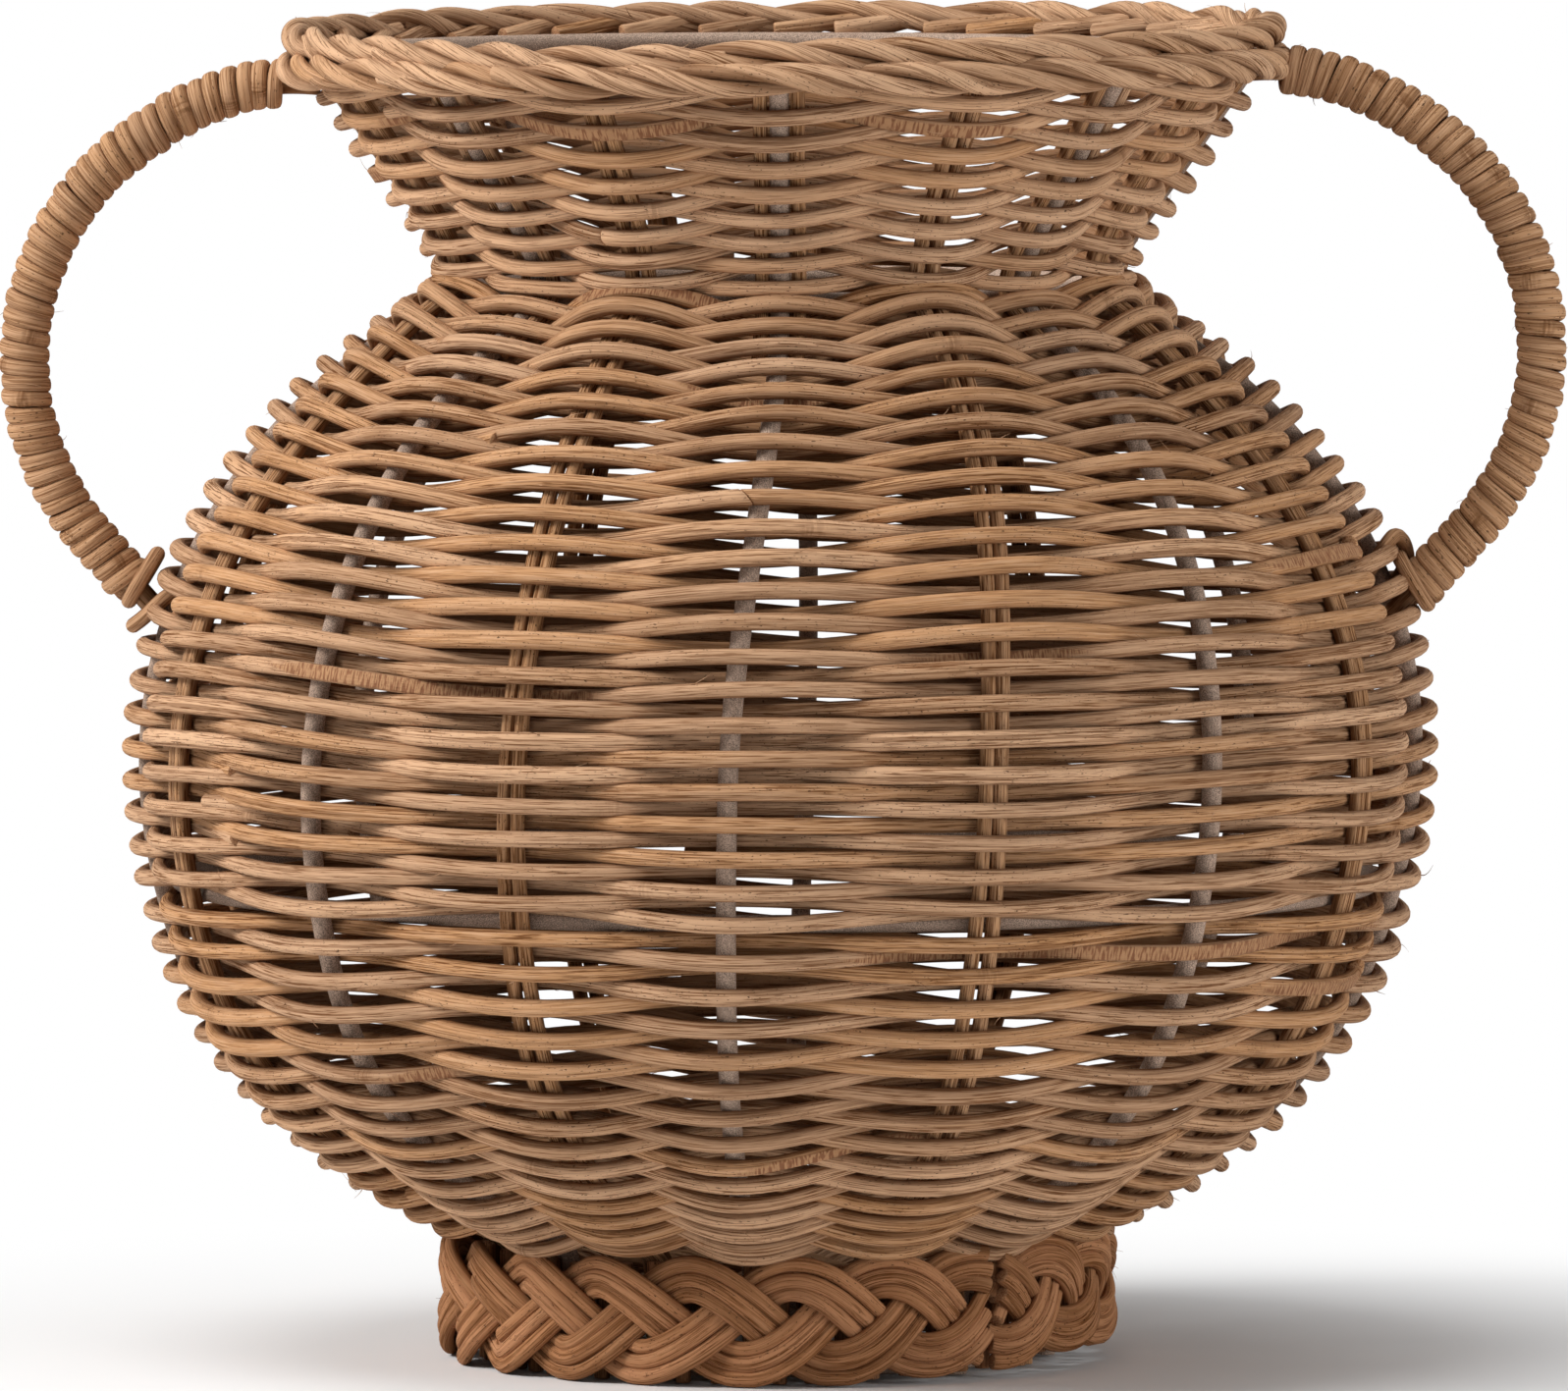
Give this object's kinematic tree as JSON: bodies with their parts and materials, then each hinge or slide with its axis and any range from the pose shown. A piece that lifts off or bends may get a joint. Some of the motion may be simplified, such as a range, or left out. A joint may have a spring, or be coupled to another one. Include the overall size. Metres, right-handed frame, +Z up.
{
  "type": "rattan vase",
  "caption": "Round-bellied vase woven of rattan round a steel rod frame, with a flared neck, twisted rim border, plaited foot and cane-bound ear handles.",
  "frame": {"origin": "on the floor at the middle of the foot", "axes": "+Z up, +X through the right handle, -Y is the front that the picture shows"},
  "size_m": [0.4302, 0.3658, 0.3714],
  "materials": {
    "steel_frame": "fine textured powder coat",
    "rattan_weave": "natural round rattan core, matt",
    "rattan_border": "natural round rattan core, matt",
    "rattan_foot": "darker rattan, matt",
    "rattan_base": "natural rattan, matt",
    "rattan_binding": "natural round rattan core, matt"
  },
  "bodies": {
    "root": {"frame_rod_1": "steel_frame", "frame_rod_2": "steel_frame", "frame_rod_3": "steel_frame", "frame_rod_4": "steel_frame", "frame_rod_5": "steel_frame", "frame_rod_6": "steel_frame", "frame_rod_7": "steel_frame", "frame_rod_8": "steel_frame", "foot_hoop": "steel_frame", "base_hoop": "steel_frame", "belly_hoop": "steel_frame", "neck_hoop": "steel_frame", "rim_hoop": "steel_frame", "handle_core_left": "steel_frame", "handle_core_right": "steel_frame", "stake_1a": "rattan_weave", "stake_1b": "rattan_weave", "stake_2a": "rattan_weave", "stake_2b": "rattan_weave", "stake_3a": "rattan_weave", "stake_3b": "rattan_weave", "stake_4a": "rattan_weave", "stake_4b": "rattan_weave", "stake_5a": "rattan_weave", "stake_5b": "rattan_weave", "stake_6a": "rattan_weave", "stake_6b": "rattan_weave", "stake_7a": "rattan_weave", "stake_7b": "rattan_weave", "stake_8a": "rattan_weave", "stake_8b": "rattan_weave", "weaver_a_lower_1": "rattan_weave", "weaver_b_lower_1": "rattan_weave", "weaver_a_lower_2": "rattan_weave", "weaver_b_lower_2": "rattan_weave", "weaver_a_belly_1": "rattan_weave", "weaver_b_belly_1": "rattan_weave", "weaver_a_belly_2": "rattan_weave", "weaver_b_belly_2": "rattan_weave", "weaver_a_belly_3": "rattan_weave", "weaver_b_belly_3": "rattan_weave", "weaver_a_belly_4": "rattan_weave", "weaver_b_belly_4": "rattan_weave", "weaver_a_neck_1": "rattan_weave", "weaver_b_neck_1": "rattan_weave", "weaver_a_neck_2": "rattan_weave", "weaver_b_neck_2": "rattan_weave", "border_roll_lower": "rattan_border", "border_roll_upper": "rattan_border", "foot_wall": "rattan_foot", "foot_plait_strand_1": "rattan_foot", "foot_plait_strand_2": "rattan_foot", "foot_plait_strand_3": "rattan_foot", "base_mat": "rattan_base", "handle_binding_left": "rattan_binding", "handle_binding_right": "rattan_binding", "handle_tie_left": "rattan_binding", "handle_tie_right": "rattan_binding"}
  },
  "joints": []
}
